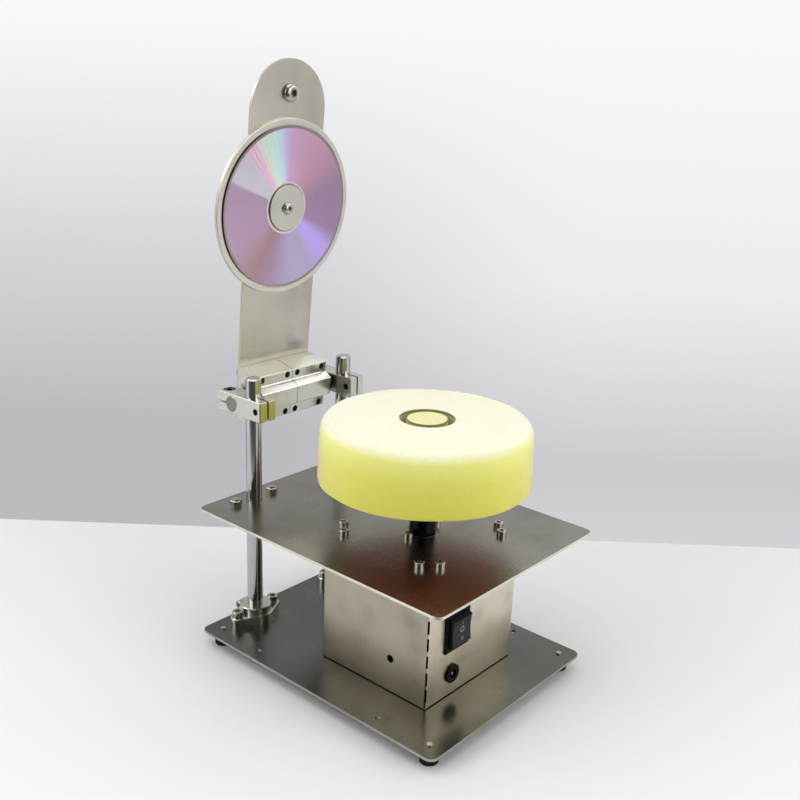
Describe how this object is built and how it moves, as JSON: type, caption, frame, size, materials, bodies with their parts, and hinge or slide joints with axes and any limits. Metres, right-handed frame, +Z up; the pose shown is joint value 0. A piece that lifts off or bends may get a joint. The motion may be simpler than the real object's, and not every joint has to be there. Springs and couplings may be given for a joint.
{
  "type": "disc repair machine",
  "caption": "Bench disc repair machine: a motor turns a foam pad above a steel deck, and a hinged arm on upright shafts holds a disc in a shallow tray and folds forward over the pad.",
  "frame": {"origin": "on the bench under the middle of the whole machine's box, with the arm at rest", "axes": "+Z up, -Y towards the front with the switch, the spindle 39.75 mm in front of the origin"},
  "size_m": [0.178, 0.2565, 0.4351],
  "materials": {
    "satin_steel": "satin",
    "bright_steel": "bright",
    "chromed_shaft": "polished",
    "machined_aluminium": "milled",
    "plated_can": "zinc plated",
    "magnet": "sintered",
    "core_steel": "stacked sheet",
    "copper": "enamelled wire",
    "contact_brass": "stamped",
    "carbon": "pressed carbon",
    "black_plastic": "moulded",
    "rocker_plastic": "moulded",
    "black_anodised": "black anodised",
    "black_steel": "black oxide",
    "black_rubber": "moulded",
    "hook_fabric": "hook tape",
    "foam": "open-cell foam",
    "lead_red": "insulation",
    "disc_plastic": "iridescent, mirror-backed"
  },
  "bodies": {
    "stand": {"base_plate": "satin_steel", "deck_plate": "satin_steel", "feet": "black_rubber", "foot_screws": "bright_steel", "low_support_left": "machined_aluminium", "low_support_right": "machined_aluminium", "top_support_left": "machined_aluminium", "top_support_right": "machined_aluminium", "support_screws": "bright_steel", "support_nuts": "bright_steel", "pinch_screws": "bright_steel", "guide_shaft_left": "chromed_shaft", "guide_shaft_right": "chromed_shaft", "motor_box": "satin_steel", "box_screws": "bright_steel", "box_nuts": "bright_steel", "motor_can": "plated_can", "motor_end_cap": "black_plastic", "motor_magnets": "magnet", "motor_bearings": "bright_steel", "motor_brushes": "carbon", "motor_terminals": "contact_brass", "motor_screws": "bright_steel", "switch_housing": "black_plastic", "switch_terminals": "contact_brass", "jack_body": "black_plastic", "jack_contacts": "contact_brass", "jack_nut": "bright_steel", "inner_leads": "lead_red"},
    "spindle": {"motor_shaft": "bright_steel", "armature_core": "core_steel", "armature_winding": "copper", "commutator": "copper", "spindle_adapter": "black_anodised", "adapter_set_screws": "black_steel", "backing_plate": "black_plastic", "hook_layer": "hook_fabric", "foam_pad": "foam"},
    "rocker": {"switch_rocker": "rocker_plastic"},
    "carriage": {"cross_clamp_left": "machined_aluminium", "cross_clamp_right": "machined_aluminium", "clamp_screws": "black_steel", "cross_shaft": "chromed_shaft"},
    "bearings": {"linear_bearing_left": "bright_steel", "linear_bearing_right": "bright_steel"},
    "arm": {"bearing_block_left": "machined_aluminium", "bearing_block_right": "machined_aluminium", "bearing_clips": "bright_steel", "block_screws": "bright_steel", "arm_plate": "satin_steel", "disc_tray": "machined_aluminium", "tray_screws": "bright_steel", "disc_mat": "black_rubber", "disc": "disc_plastic", "hub_washer": "bright_steel", "hub_screw": "bright_steel", "hub_nut": "bright_steel", "knob": "machined_aluminium", "knob_screw": "bright_steel"}
  },
  "joints": [
    {"name": "spindle_spin", "type": "hinge", "parent": "stand", "child": "spindle", "pos_m": [0, -0.03975, 0.15], "axis": [0, 0, 1], "continuous": true},
    {"name": "switch_rock", "type": "hinge", "parent": "stand", "child": "rocker", "pos_m": [-0.0195, -0.08875, 0.0634], "axis": [1, 0, 0], "range_deg": [-11, 11]},
    {"name": "carriage_height", "type": "slide", "parent": "stand", "child": "carriage", "axis": [0, 0, 1], "range_m": [0, 0.014]},
    {"name": "arm_side_slide", "type": "slide", "parent": "carriage", "child": "bearings", "axis": [1, 0, 0], "range_m": [-0.0032, 0.0032]},
    {"name": "arm_swing", "type": "hinge", "parent": "bearings", "child": "arm", "pos_m": [0, 0.10425, 0.1875], "axis": [1, 0, 0], "range_deg": [-134, 83]}
  ]
}
